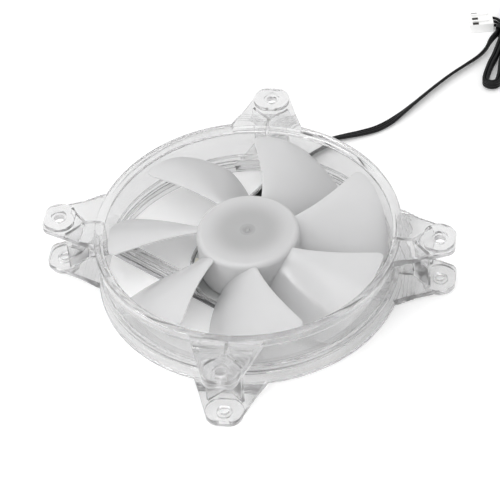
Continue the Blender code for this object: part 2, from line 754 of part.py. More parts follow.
def build_rotor(frosted, steel, magnet, axis):
    """Everything that turns; each piece hangs from an empty on the rotor's axis."""
    impeller = add_object("impeller", turned(hub_profile(), HUB_SIDES), frosted)
    vanes = helper_collection("impeller_vanes")
    half = HUB_RIB_THICK / 2
    for index in range(HUB_RIBS):
        rib = box(YOKE_R + GAP, HUB_R - HUB_WALL / 2, -half, half, HUB_RIB_Z, hub_under + HUB_TOP_WALL / 2)
        rib = move(rib, spin_z(360 / HUB_RIBS * (index + 0.5)))
        hide_in(vanes, add_object(f"hub_rib_{index + 1}", rib))
    for index in range(BLADES):
        bm = move(blade(), spin_z(360 / BLADES * index))
        hide_in(vanes, add_object(f"blade_{index + 1}", bm))
    add_boolean(impeller, "UNION", vanes)
    hole = hub_boss_r + GAP
    cup = [
        (hole, yoke_top),
        (YOKE_R - YOKE_WALL, yoke_top),
        (YOKE_R, yoke_top - YOKE_WALL),
        (YOKE_R, YOKE_Z),
        (yoke_in_r, YOKE_Z),
        (yoke_in_r, yoke_top - YOKE_WALL),
        (hole, yoke_top - YOKE_WALL),
    ]
    yoke = add_object("rotor_yoke", turned(cup, 48), steel)
    ring_magnet = add_object(
        "ring_magnet", ring(magnet_in_r, magnet_r, MAGNET_Z, MAGNET_Z + MAGNET_HEIGHT, 48), magnet
    )
    spindle = [
        (0, shaft_z),
        (neck_r, shaft_z),
        (neck_r, clip_z - GAP),
        (neck_r, clip_z + CLIP_THICK + GAP),
        (SHAFT_R, clip_z + CLIP_THICK + GAP),
        (SHAFT_R, hub_under - GAP),
        (0, hub_under - GAP),
    ]
    shaft = add_object("rotor_shaft", turned(spindle, 28), steel)
    for obj in (impeller, yoke, ring_magnet, shaft):
        obj.parent = axis


# ---- cable ----


def ribbon(name, points, tilts, material):
    """The flat cable along a smooth curve through the points, turned about its own line by the tilts."""
    curve = bpy.data.curves.new(name, "CURVE")
    curve.dimensions = "3D"
    curve.twist_mode = "Z_UP"
    curve.fill_mode = "FULL"
    curve.extrude = (CABLE_WIDTH - CABLE_THICK) / 2
    curve.bevel_depth = CABLE_THICK / 2
    curve.bevel_resolution = 2
    curve.use_fill_caps = True
    spline = curve.splines.new("POLY")
    spline.points.add(len(points) - 1)
    for place, point, tilt in zip(spline.points, points, tilts):
        place.co = (*point, 1)
        place.tilt = math.radians(90 + tilt)
    obj = bpy.data.objects.new(name, curve)
    bpy.context.scene.collection.objects.link(obj)
    curve.materials.append(material)
    return obj


def smooth_route(knots, count):
    """Evenly spaced points on the centripetal curve through the knots, each (x, y, z, tilt)."""
    knots = [Vector(knot) for knot in knots]
    ends = [knots[0] * 2 - knots[1], *knots, knots[-1] * 2 - knots[-2]]
    fine = []
    for a, b, c, d in zip(ends, ends[1:], ends[2:], ends[3:]):
        for k in range(16):
            t = k / 16
            cubic = a * (-t + 2 * t**2 - t**3) + b * (2 - 5 * t**2 + 3 * t**3)
            cubic += c * (t + 4 * t**2 - 3 * t**3) + d * (t**3 - t**2)
            fine.append(cubic / 2)
    fine.append(knots[-1])
    reach = [0.0]
    for first, second in zip(fine, fine[1:]):
        reach.append(reach[-1] + (second.xyz - first.xyz).length)
    points = []
    at = 0
    for k in range(count):
        want = reach[-1] * k / (count - 1)
        while at < len(fine) - 2 and reach[at + 1] < want:
            at += 1
        part = (want - reach[at]) / (reach[at + 1] - reach[at])
        points.append(fine[at].lerp(fine[at + 1], part))
    return [point.xyz for point in points], [point.w for point in points]


def to_hank():
    """From the hank's own axes, x along its runs from its near fold, to its place on the floor."""
    return Matrix.Translation((*HANK_AT, 0)) @ spin_z(HANK_ANGLE)


def to_connector():
    """From the connector's own axes, x from its mouth to its rear, to its place on the floor."""
    return Matrix.Translation((*CONNECTOR_AT, 0)) @ spin_z(CONNECTOR_ANGLE)


def build_cable(black, nylon, tie):
    half = CABLE_WIDTH / 2
    lead = box(lead_start, lead_end, -half, half, lead_z, lead_top)
    add_object("motor_lead", move(lead, to_strut(CABLE_STRUT)), black)
    middle = (lead_z + lead_top) / 2
    ways = (lead_end + GAP, (lead_end + channel_end) / 2, channel_end)
    outlet = [to_strut(CABLE_STRUT) @ Vector((x, 0, middle)) for x in ways]
    knots = [(*point, 0) for point in outlet]
    knots += [(x * MM, y * MM, z * MM, tilt) for x, y, z, tilt in CABLE_ROUTE]
    ribbon("cable_run", *smooth_route(knots, CABLE_STEPS), black)
    half = HANK_WIDTH / 2
    corners = [(0, -half, half * 0.999), (HANK_LENGTH, -half, half * 0.999)]
    corners += [(HANK_LENGTH, half, half * 0.999), (0, half, half * 0.999)]
    corners = [(x + math.copysign(half, x - half), y, radius) for x, y, radius in corners]
    hank = prism(rounded(corners, 8), HANK_Z, HANK_Z + HANK_HEIGHT)
    hank = add_object("cable_hank", move(hank, to_hank()), black)
    tails = helper_collection("hank_tails")
    start = CONNECTOR_LONG + GAP
    across = CABLE_WIDTH / 2
    low = (CONNECTOR_HEIGHT - TAIL_THICK) / 2
    tail = box(start, start + HANK_WIDTH / 2, -across, across, low, low + TAIL_THICK)
    hide_in(tails, add_object("tail", move(tail, to_connector())))
    add_boolean(hank, "UNION", tails)
    inside = Vector((half + GAP, HANK_HEIGHT / 2 + GAP))
    outside = inside + Vector((TIE_THICK, TIE_THICK))
    bm = sleeve(rectangle(outside, TIE_ROUND), rectangle(inside, TIE_ROUND), -TIE_WIDTH / 2, TIE_WIDTH / 2)
    move(bm, upright(HANK_LENGTH * TIE_PLACE, HANK_Z + HANK_HEIGHT / 2))
    add_object("cable_tie", move(bm, to_hank()), tie)
    build_connector(nylon)


def build_connector(nylon):
    """A three-way socket housing with two guide rails and an open cell for each contact."""
    place = to_connector()
    half = CONNECTOR_WIDTH / 2
    top = CONNECTOR_HEIGHT
    body = add_object("connector", move(box(0, CONNECTOR_LONG, -half, half, 0, top), place), nylon)
    rails = helper_collection("connector_rails")
    cells = helper_collection("connector_cells")
    for side in (-1, 1):
        y = side * RAIL_SPREAD / 2
        bm = box(RAIL, CONNECTOR_LONG * 0.8, y - RAIL / 2, y + RAIL / 2, top * 0.8, top + RAIL)
        hide_in(rails, add_object(f"rail_{side}", move(bm, place)))
    for way in (-1, 0, 1):
        y = way * CONTACT_PITCH
        bm = box(-1 * MM, CELL_DEPTH, y - CELL / 2, y + CELL / 2, (top - CELL) / 2, (top + CELL) / 2)
        hide_in(cells, add_object(f"cell_{way}", move(bm, place)))
    add_boolean(body, "UNION", rails)
    add_boolean(body, "DIFFERENCE", cells)


def main():
    for obj in list(bpy.data.objects):
        bpy.data.objects.remove(obj, do_unlink=True)
    clear = make_material("clear_plastic", (0.86, 0.87, 0.88), 0.05, alpha=0.35)
    frosted = make_material("frosted_plastic", (0.80, 0.80, 0.79), 0.45)
    steel = make_material("steel", (0.55, 0.55, 0.56), 0.3, 1.0)
    lamination = make_material("laminations", (0.30, 0.30, 0.32), 0.45, 1.0)
    copper = make_material("enamelled_copper", (0.62, 0.28, 0.12), 0.35, 1.0)
    brass = make_material("brass", (0.75, 0.58, 0.30), 0.3, 1.0)
    bronze = make_material("sintered_bronze", (0.50, 0.36, 0.22), 0.6, 1.0)
    magnet = make_material("ferrite", (0.06, 0.06, 0.06), 0.6)
    board = make_material("circuit_board", (0.02, 0.03, 0.025), 0.4)
    lamp = make_material("led_package", (0.85, 0.83, 0.70), 0.3)
    black = make_material("black_vinyl", (0.02, 0.02, 0.02), 0.45)
    chip = make_material("moulding_compound", (0.03, 0.03, 0.03), 0.5)
    nylon = make_material("natural_nylon", (0.85, 0.84, 0.80), 0.4)
    paper = make_material("label_film", (0.75, 0.76, 0.78), 0.4)
    axis = bpy.data.objects.new("rotor_axis", None)
    bpy.context.scene.collection.objects.link(axis)
    build_frame(clear)
    add_object("rear_label", disc(LABEL_R, label_z, label_z + LABEL_THICK, 48), paper)
    build_bearing(brass, bronze, steel, black)
    build_board(board, lamp, chip)
    build_stator(lamination, nylon, copper)
    build_rotor(frosted, steel, magnet, axis)
    build_cable(black, nylon, black)


main()
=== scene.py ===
import json
import math

import bmesh
import bpy
from mathutils import Matrix, Vector

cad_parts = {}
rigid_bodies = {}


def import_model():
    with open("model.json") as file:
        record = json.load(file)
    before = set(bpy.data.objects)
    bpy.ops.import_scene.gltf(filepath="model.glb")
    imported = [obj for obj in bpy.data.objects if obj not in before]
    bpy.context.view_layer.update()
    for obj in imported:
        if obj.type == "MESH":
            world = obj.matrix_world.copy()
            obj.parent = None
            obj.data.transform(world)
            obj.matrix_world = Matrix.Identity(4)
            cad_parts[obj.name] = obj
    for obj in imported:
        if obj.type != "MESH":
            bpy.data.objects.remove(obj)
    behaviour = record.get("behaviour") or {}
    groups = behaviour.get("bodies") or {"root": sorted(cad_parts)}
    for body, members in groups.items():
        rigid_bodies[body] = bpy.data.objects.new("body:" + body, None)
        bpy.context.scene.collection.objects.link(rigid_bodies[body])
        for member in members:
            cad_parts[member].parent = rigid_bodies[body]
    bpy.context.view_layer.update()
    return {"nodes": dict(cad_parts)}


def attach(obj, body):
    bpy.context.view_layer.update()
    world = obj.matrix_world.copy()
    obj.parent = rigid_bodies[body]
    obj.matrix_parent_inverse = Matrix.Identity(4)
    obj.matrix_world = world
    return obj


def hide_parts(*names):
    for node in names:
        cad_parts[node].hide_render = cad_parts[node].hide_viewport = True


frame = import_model()
mm = 0.001
turn = 2 * math.pi

making = {
    "weld": 1e-6,  # points nearer than this become one
    "bevelSteps": 2,
    "cornerSteps": 10,
    "routeSteps": 24,  # fine points from one knot to the next
}

view = {
    "azimuth": -34.07,
    "elevation": 45.34,
    "roll": -4.70,
    "distance": 0.9407,
    "target": (0, 0, 0.0125),
    "lens": 174.1,
    "shift": (0.0015, -0.0020),
    "sensor": 36,
    "clip": (0.05, 20),
}


def addCamera():
    azimuth = math.radians(view["azimuth"])
    elevation = math.radians(view["elevation"])
    roll = math.radians(view["roll"])
    flat = math.cos(elevation)
    back = Vector((math.sin(azimuth) * flat, -math.cos(azimuth) * flat, math.sin(elevation)))
    right = Vector((math.cos(azimuth), math.sin(azimuth), 0))
    up = back.cross(right)
    side = right * math.cos(roll) + up * math.sin(roll)
    top = up * math.cos(roll) - right * math.sin(roll)
    data = bpy.data.cameras.new("camera")
    data.lens = view["lens"]
    data.sensor_width = view["sensor"]
    data.shift_x, data.shift_y = view["shift"]
    data.clip_start, data.clip_end = view["clip"]
    camera = bpy.data.objects.new("camera", data)
    bpy.context.scene.collection.objects.link(camera)
    place = Matrix((side, top, back)).transposed().to_4x4()
    place.translation = Vector(view["target"]) + back * view["distance"]
    camera.matrix_world = place
    bpy.context.scene.camera = camera


addCamera()
print("camera placed")


# the bmesh as an object, faces outwards and shaded smooth up to the given angle
def addPiece(name, bm, material=None, sharp=35):
    bmesh.ops.recalc_face_normals(bm, faces=bm.faces)
    mesh = bpy.data.meshes.new(name)
    bm.to_mesh(mesh)
    bm.free()
    mesh.shade_smooth()
    mesh.set_sharp_from_angle(angle=math.radians(sharp))
    obj = bpy.data.objects.new(name, mesh)
    bpy.context.scene.collection.objects.link(obj)
    if material:
        mesh.materials.append(material)
    return obj


def turned(profile, sides):
    bm = bmesh.new()
    points = [bm.verts.new((r, 0, z)) for r, z in profile]
    pairs = zip(points, points[1:] + points[:1])
    edges = [bm.edges.new(pair) for pair in pairs if pair[0].co.x > 0 or pair[1].co.x > 0]
    bmesh.ops.spin(bm, geom=points + edges, axis=(0, 0, 1), cent=(0, 0, 0), angle=turn, steps=sides)
    bmesh.ops.remove_doubles(bm, verts=bm.verts, dist=making["weld"])
    return bm


def prism(outline, z0, z1):
    bm = bmesh.new()
    face = bm.faces.new([bm.verts.new((x, y, z0)) for x, y in outline])
    raised = bmesh.ops.extrude_face_region(bm, geom=[face])["geom"]
    tops = [v for v in raised if isinstance(v, bmesh.types.BMVert)]
    bmesh.ops.translate(bm, verts=tops, vec=(0, 0, z1 - z0))
    return bm


def disc(radius, z0, z1, sides):
    angles = [turn * k / sides for k in range(sides)]
    outline = [(radius * math.cos(angle), radius * math.sin(angle)) for angle in angles]
    return prism(outline, z0, z1)


def box(x0, x1, y0, y1, z0, z1):
    return prism([(x0, y0), (x1, y0), (x1, y1), (x0, y1)], z0, z1)


# the polygon of (x, y, radius) corners, each rounded by an arc of its radius
def rounded(corners, steps=making["cornerSteps"]):
    points = []
    for k, (x, y, radius) in enumerate(corners):
        here = Vector((x, y))
        if radius <= 0:
            points.append((x, y))
            continue
        before = (Vector(corners[k - 1][:2]) - here).normalized()
        after = (Vector(corners[(k + 1) % len(corners)][:2]) - here).normalized()
        half = before.angle(after) / 2
        centre = here + (before + after).normalized() * (radius / math.sin(half))
        start = here + before * (radius / math.tan(half)) - centre
        end = here + after * (radius / math.tan(half)) - centre
        first = math.atan2(start.y, start.x)
        sweep = (math.atan2(end.y, end.x) - first + math.pi) % turn - math.pi
        for step in range(steps + 1):
            angle = first + sweep * step / steps
            points.append((centre.x + radius * math.cos(angle), centre.y + radius * math.sin(angle)))
    return points


def move(bm, matrix):
    bmesh.ops.transform(bm, matrix=matrix, verts=bm.verts)
    return bm


def spinZ(degrees):
    return Matrix.Rotation(math.radians(degrees), 4, "Z")


def helpers(name):
    collection = bpy.data.collections.new(name)
    bpy.context.scene.collection.children.link(collection)
    collection.hide_render = True
    return collection


def hideIn(collection, name, bm):
    obj = addPiece(name, bm)
    bpy.context.scene.collection.objects.unlink(obj)
    collection.objects.link(obj)


def addBoolean(obj, operation, collection):
    modifier = obj.modifiers.new(operation.title(), "BOOLEAN")
    modifier.operation = operation
    modifier.operand_type = "COLLECTION"
    modifier.collection = collection
    modifier.solver = "EXACT"


# applies the modifiers, with the sharp edges rounded, and drops the helper objects
def settle(obj, *collections, bevel=0.0, sharp=30):
    if bevel:
        modifier = obj.modifiers.new("Rounding", "BEVEL")
        modifier.width = bevel
        modifier.segments = making["bevelSteps"]
        modifier.limit_method = "ANGLE"
        modifier.angle_limit = math.radians(sharp)
    graph = bpy.context.evaluated_depsgraph_get()
    mesh = bpy.data.meshes.new_from_object(obj.evaluated_get(graph))
    obj.modifiers.clear()
    obj.data = mesh
    mesh.shade_smooth()
    mesh.set_sharp_from_angle(angle=math.radians(sharp))
    for collection in collections:
        for helper in list(collection.objects):
            bpy.data.objects.remove(helper, do_unlink=True)
        bpy.data.collections.remove(collection)


# evenly spaced (x, y, z, tilt) points on the smooth curve through the knots, and its length
def smoothRoute(knots, spacing):
    knots = [Vector(knot) for knot in knots]
    ends = [knots[0] * 2 - knots[1], *knots, knots[-1] * 2 - knots[-2]]
    fine = []
    for a, b, c, d in zip(ends, ends[1:], ends[2:], ends[3:]):
        for k in range(making["routeSteps"]):
            t = k / making["routeSteps"]
            cubic = a * (-t + 2 * t**2 - t**3) + b * (2 - 5 * t**2 + 3 * t**3)
            cubic += c * (t + 4 * t**2 - 3 * t**3) + d * (t**3 - t**2)
            fine.append(cubic / 2)
    fine.append(knots[-1])
    reach = [0.0]
    for first, second in zip(fine, fine[1:]):
        reach.append(reach[-1] + (second.xyz - first.xyz).length)
    count = round(reach[-1] / spacing) + 1
    points = []
    at = 0
    for k in range(count):
        want = reach[-1] * k / (count - 1)
        while at < len(fine) - 2 and reach[at + 1] < want:
            at += 1
        part = (want - reach[at]) / (reach[at + 1] - reach[at])
        points.append(fine[at].lerp(fine[at + 1], part))
    return points, reach[-1]


cable = {
    "wireRadius": 0.65 * mm,
    "wirePitch": 1.24 * mm,
    "contactPitch": 2.54 * mm,
    "splay": 5.0 * mm,  # the wires part over this length before the connector
    "spacing": 0.9 * mm,
    "roundSides": 12,
    "sharp": 60,
    "strut": 3,  # the strut whose channel holds the lead
    "strutAngle": 14.8,
    "strutOffset": 21.0 * mm,
    "channel": (51.74 * mm, 57.6 * mm, 63.45 * mm),
    "channelZ": 2.95 * mm,
    "leadFrom": 6.3 * mm,
    "leadSteps": 30,
    # x, y, height and tilt, in millimetres and degrees
    "run": (
        (61.0, 37.8, 2.1, -38),
        (65.5, 38.2, 1.65, -44),
        (70.5, 37.5, 1.45, -34),
        (76.0, 35.4, 1.25, -22),
        (82.5, 32.6, 1.1, -13),
        (89.0, 30.5, 1.0, -8),
        (95.5, 29.9, 1.15, -14),
        (102.5, 30.4, 1.6, -35),
        (110.0, 31.5, 1.9, -48),
        (118.0, 32.9, 2.0, -52),
        (126.0, 34.2, 2.0, -52),
        (134.0, 35.2, 2.0, -52),
        (142.0, 35.7, 2.0, -52),
        (149.5, 36.2, 2.0, -60),
        (155.0, 37.4, 2.4, -74),
        (160.0, 39.9, 2.8, -88),
    ),
    "hankAt": (146.0 * mm, 20.5 * mm),
    "hankAngle": 37.0,
    # along the hank, across it, height and tilt, in millimetres and degrees
    "hank": (
        (30.0, 4.85, 2.9, -90),
        (36.0, 4.6, 2.9, -90),
        (43.0, 4.7, 2.9, -90),
        (50.0, 4.75, 2.9, -90),
        (53.4, 3.4, 2.9, -90),
        (54.75, 0.0, 2.9, -90),
        (53.4, -3.4, 2.9, -90),
        (50.0, -4.75, 2.9, -90),
        (42.0, -4.6, 2.9, -90),
        (31.0, -3.2, 2.9, -90),
        (21.0, -1.4, 2.9, -90),
        (13.0, -1.0, 2.9, -90),
        (8.0, -1.35, 2.9, -90),
        (2.0, -1.95, 2.9, -90),
        (-2.6, -2.0, 2.9, -90),
        (-4.7, -1.0, 2.9, -90),
        (-5.6, 1.4, 2.9, -90),
        (-4.7, 3.8, 2.9, -90),
        (-2.6, 4.8, 2.9, -90),
        (3.0, 4.85, 2.9, -90),
        (8.0, 4.55, 2.9, -90),
        (13.0, 3.9, 2.9, -90),
        (22.0, 3.4, 2.9, -90),
        (30.0, 3.3, 2.9, -90),
        (40.0, 3.2, 2.9, -90),
        (49.0, 3.2, 2.9, -90),
        (52.3, 1.8, 2.9, -90),
        (52.9, -0.4, 2.9, -90),
        (51.6, -2.6, 2.9, -90),
        (48.5, -3.3, 2.9, -90),
        (40.0, -2.6, 2.9, -90),
        (30.0, -1.2, 2.9, -90),
        (21.0, 0.15, 2.9, -90),
        (13.0, 0.45, 2.9, -90),
        (8.0, 0.1, 2.9, -90),
        (2.0, -0.6, 2.9, -90),
        (-2.6, -0.65, 2.9, -90),
        (-3.9, -0.05, 2.9, -90),
        (-4.4, 1.4, 2.9, -90),
        (-3.9, 2.85, 2.9, -90),
        (-2.6, 3.45, 2.9, -90),
        (3.0, 3.5, 2.9, -90),
        (8.0, 3.15, 2.9, -90),
        (13.0, 2.45, 2.9, -90),
        (22.0, 1.95, 2.9, -90),
        (27.0, 1.8, 2.7, -80),
        (31.5, 2.3, 1.9, -50),
        (34.2, 3.6, 1.05, -15),
        (35.5, 5.2, 0.9, 0),
    ),
    "connectorAt": (161.0 * mm, 54.6 * mm),
    "connectorAngle": -34.0,
    "connectorLong": 9.8 * mm,
    "connectorHeight": 4.6 * mm,
    "tailOut": 1.6 * mm,
    "tailDrop": 0.3 * mm,
    "length": 0.38,
}


def toStrut(index):
    aside = Matrix.Translation((0, cable["strutOffset"], 0))
    return spinZ(90 * index + cable["strutAngle"] + 90) @ aside


def toHank():
    return Matrix.Translation((*cable["hankAt"], 0)) @ spinZ(cable["hankAngle"])


def toConnector():
    return Matrix.Translation((*cable["connectorAt"], 0)) @ spinZ(cable["connectorAngle"])


# three round wires side by side along the points, whose fourth value is their tilt
def wires(name, points, material, pitchAt):
    bm = bmesh.new()
    sides = cable["roundSides"]
    rings = []
    for k, point in enumerate(points):
        ahead = points[min(k + 1, len(points) - 1)].xyz - points[max(k - 1, 0)].xyz
        ahead.normalize()
        level = Vector((0, 0, 1)).cross(ahead).normalized()
        up = ahead.cross(level)
        tilt = math.radians(point.w)
        across = level * math.cos(tilt) + up * math.sin(tilt)
        thick = ahead.cross(across)
        rings.append((point.xyz, across, thick, pitchAt(k)))
    for wire in (-1, 0, 1):
        loops = []
        for centre, across, thick, pitch in rings:
            middle = centre + across * (pitch * wire)
            loops.append([])
            for side in range(sides):
                angle = turn * side / sides
                around = across * math.cos(angle) + thick * math.sin(angle)
                loops[-1].append(bm.verts.new(middle + around * cable["wireRadius"]))
        for first, second in zip(loops, loops[1:]):
            for side in range(sides):
                bm.faces.new((first[side - 1], first[side], second[side], second[side - 1]))
        bm.faces.new(loops[0])
        bm.faces.new(loops[-1])
    return addPiece(name, bm, material, cable["sharp"])


def addCable(material):
    middle = cable["channelZ"]
    along = toStrut(cable["strut"])
    outlet = [along @ Vector((x, 0, middle)) for x in cable["channel"]]
    knots = [(*point, 0) for point in outlet]
    knots += [(x * mm, y * mm, z * mm, tilt) for x, y, z, tilt in cable["run"]]
    for x, y, z, tilt in cable["hank"]:
        knots.append((*(toHank() @ Vector((x * mm, y * mm, z * mm))), tilt))
    long, height = cable["connectorLong"], cable["connectorHeight"] / 2
    rear = toConnector() @ Vector((long, 0, height))
    out = toConnector() @ Vector((long + cable["tailOut"], 0, height - cable["tailDrop"]))
    knots += [(*out, 0), (*rear, 0)]
    points, length = smoothRoute(knots, cable["spacing"])
    print(f"cable is {length:.4f} m long")
    last = len(points) - 1

    def pitchAt(k):
        left = (last - k) * cable["spacing"] / cable["splay"]
        part = max(0.0, min(1.0, 1 - left))
        return cable["wirePitch"] + (cable["contactPitch"] - cable["wirePitch"]) * part

    run = wires("cable", points, material, pitchAt)
    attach(run, "frame")
    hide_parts("cable_run", "cable_hank")
    start = Vector((cable["leadFrom"], 0, middle))
    end = Vector((cable["channel"][0], 0, middle))
    steps = cable["leadSteps"]
    lead = [Vector((*(along @ start.lerp(end, k / steps)), 0)) for k in range(steps + 1)]
    leadPiece = wires("lead", lead, material, lambda k: cable["wirePitch"])
    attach(leadPiece, "frame")
    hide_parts("motor_lead")
    tuple(outlet[0])


def newMaterial(name, colour, roughness, metallic=0.0, **sockets):
    material = bpy.data.materials.new(name)
    material.use_nodes = True
    shader = material.node_tree.nodes["Principled BSDF"]
    shader.inputs["Base Color"].default_value = (*colour, 1)
    shader.inputs["Roughness"].default_value = roughness
    shader.inputs["Metallic"].default_value = metallic
    for socket, value in sockets.items():
        shader.inputs[socket.replace("_", " ")].default_value = value
    return material


def addSocket(group, name, way, kind):
    group.interface.new_socket(name=name, in_out=way, socket_type=f"NodeSocket{kind}")


def addNode(nodes, kind, **values):
    node = nodes.new(f"ShaderNode{kind}")
    for socket, value in values.items():
        node.inputs[socket.replace("_", " ")].default_value = value
    return node


def addMix(nodes, **colours):
    mix = addNode(nodes, "Mix")
    mix.data_type = "RGBA"
    for socket, colour in colours.items():
        mix.inputs[socket].default_value = (*colour, 1)
    return mix


def addFade(nodes, reach, ends):
    near, far = reach
    first, last = ends
    fade = addNode(nodes, "MapRange", From_Min=near, From_Max=far, To_Min=first, To_Max=last)
    fade.interpolation_type = "SMOOTHERSTEP"
    return fade


mottling = {
    "driftDetail": 3,
    "grainDetail": 2,
    "contrast": (0.15, 0.85),  # the noise's range that the roughness follows
    "grainHeight": 0.05 * mm,
    "plainScale": 300,
    "plainGrain": 4000,
}


# a base colour drifted by noise, a roughness to match and a fine grain
def makeMottleGroup():
    group = bpy.data.node_groups.new("mottle", "ShaderNodeTree")
    addSocket(group, "Colour", "INPUT", "Color")
    addSocket(group, "Other Colour", "INPUT", "Color")
    addSocket(group, "Scale", "INPUT", "Float")
    addSocket(group, "Roughness Low", "INPUT", "Float")
    addSocket(group, "Roughness High", "INPUT", "Float")
    addSocket(group, "Grain Scale", "INPUT", "Float")
    addSocket(group, "Colour", "OUTPUT", "Color")
    addSocket(group, "Roughness", "OUTPUT", "Float")
    addSocket(group, "Height", "OUTPUT", "Float")
    nodes, links = group.nodes, group.links
    into = nodes.new("NodeGroupInput")
    out = nodes.new("NodeGroupOutput")
    place = addNode(nodes, "TexCoord")
    drift = addNode(nodes, "TexNoise", Detail=mottling["driftDetail"])
    grain = addNode(nodes, "TexNoise", Detail=mottling["grainDetail"])
    mix = addMix(nodes)
    low, high = mottling["contrast"]
    rough = addNode(nodes, "MapRange", From_Min=low, From_Max=high)
    links.new(place.outputs["Object"], drift.inputs["Vector"])
    links.new(place.outputs["Object"], grain.inputs["Vector"])
    links.new(into.outputs["Scale"], drift.inputs["Scale"])
    links.new(into.outputs["Grain Scale"], grain.inputs["Scale"])
    links.new(drift.outputs["Fac"], mix.inputs["Factor"])
    links.new(into.outputs["Colour"], mix.inputs["A"])
    links.new(into.outputs["Other Colour"], mix.inputs["B"])
    links.new(drift.outputs["Fac"], rough.inputs["Value"])
    links.new(into.outputs["Roughness Low"], rough.inputs["To Min"])
    links.new(into.outputs["Roughness High"], rough.inputs["To Max"])
    links.new(mix.outputs["Result"], out.inputs["Colour"])
    links.new(rough.outputs["Result"], out.inputs["Roughness"])
    links.new(grain.outputs["Fac"], out.inputs["Height"])
    return group


mottle = makeMottleGroup()


# wires the mottle group into the material's shader
def mottled(material, colour, other, scale, roughness, grainScale, bump):
    nodes, links = material.node_tree.nodes, material.node_tree.links
    shader = nodes["Principled BSDF"]
    group = nodes.new("ShaderNodeGroup")
    group.node_tree = mottle
    group.inputs["Colour"].default_value = (*colour, 1)
    group.inputs["Other Colour"].default_value = (*other, 1)
    group.inputs["Scale"].default_value = scale
    group.inputs["Roughness Low"].default_value = roughness[0]
    group.inputs["Roughness High"].default_value = roughness[1]
    group.inputs["Grain Scale"].default_value = grainScale
    lift = addNode(nodes, "Bump", Strength=bump, Distance=mottling["grainHeight"])
    links.new(group.outputs["Colour"], shader.inputs["Base Color"])
    links.new(group.outputs["Roughness"], shader.inputs["Roughness"])
    links.new(group.outputs["Height"], lift.inputs["Height"])
    links.new(lift.outputs["Normal"], shader.inputs["Normal"])
    return material


clear = {
    "outer": (0.53, 0.53, 0.535),  # the first surface that light meets
    "inner": (0.98, 0.98, 0.98),  # every surface behind it, painted lighter as a fill light for the shade seen through the plastic
    "shadow": (0.82, 0.82, 0.82),
    "roughness": 0.04,
    "transmission": 0.90,
    "ior": 1.49,
    "waveScale": 90,
    "waveDetail": 2,
    "waveStrength": 0.12,
    "waveHeight": 0.1 * mm,
}


def clearPlastic():
    material = newMaterial(
        "clearPlastic",
        clear["outer"],
        clear["roughness"],
        Transmission_Weight=clear["transmission"],
        IOR=clear["ior"],
    )
    nodes, links = material.node_tree.nodes, material.node_tree.links
    shader = nodes["Principled BSDF"]
    place = addNode(nodes, "TexCoord")
    flow = addNode(nodes, "TexNoise", Scale=clear["waveScale"], Detail=clear["waveDetail"])
    lift = addNode(nodes, "Bump", Strength=clear["waveStrength"], Distance=clear["waveHeight"])
    links.new(place.outputs["Object"], flow.inputs["Vector"])
    links.new(flow.outputs["Fac"], lift.inputs["Height"])
    links.new(lift.outputs["Normal"], shader.inputs["Normal"])
    rays = addNode(nodes, "LightPath")
    deeper = addNode(nodes, "Math")
    deeper.operation = "GREATER_THAN"
    deeper.inputs[1].default_value = 0.5  # true once the ray has passed a surface
    # painted fill light: surfaces behind the first one take the lighter inner colour
    paintedFillMix = addMix(nodes, A=clear["outer"], B=clear["inner"])
    links.new(rays.outputs["Transmission Depth"], deeper.inputs[0])
    links.new(deeper.outputs["Value"], paintedFillMix.inputs["Factor"])
    links.new(paintedFillMix.outputs["Result"], shader.inputs["Base Color"])
    # most light passes through to the shadow
    through = addNode(nodes, "BsdfTransparent", Color=(*clear["shadow"], 1))
    blend = addNode(nodes, "MixShader")
    links.new(rays.outputs["Is Shadow Ray"], blend.inputs["Fac"])
    links.new(shader.outputs["BSDF"], blend.inputs[1])
    links.new(through.outputs["BSDF"], blend.inputs[2])
    links.new(blend.outputs["Shader"], nodes["Material Output"].inputs["Surface"])
    return material


frosted = {
    "colour": (0.61, 0.61, 0.615),
    "other": (0.58, 0.58, 0.585),
    "scale": 60,
    "roughness": (0.27, 0.32),
    "grainScale": 2600,
    "bump": 0.04,
    "subsurface": 0.9,
    "subsurfaceScale": 0.005,
    "specular": 0.6,
    "coat": 0.5,
    "coatRoughness": 0.2,
    # painted shade: the hub's top is painted darker in a soft disc over the steel cup inside, for
    # the cup's shade seen through the plastic
    "cupShadeColour": (0.25, 0.25, 0.25),
    "cupShadeReach": (7 * mm, 18.5 * mm),
    "cupShadeShare": (0.55, 0.09),
    # the gate mark at the centre is darker and polished
    "markColour": (0.22, 0.22, 0.22),
    "markReach": (1.2 * mm, 3.6 * mm),
    "markShare": 0.3,
    "markRoughness": 0.1,
}


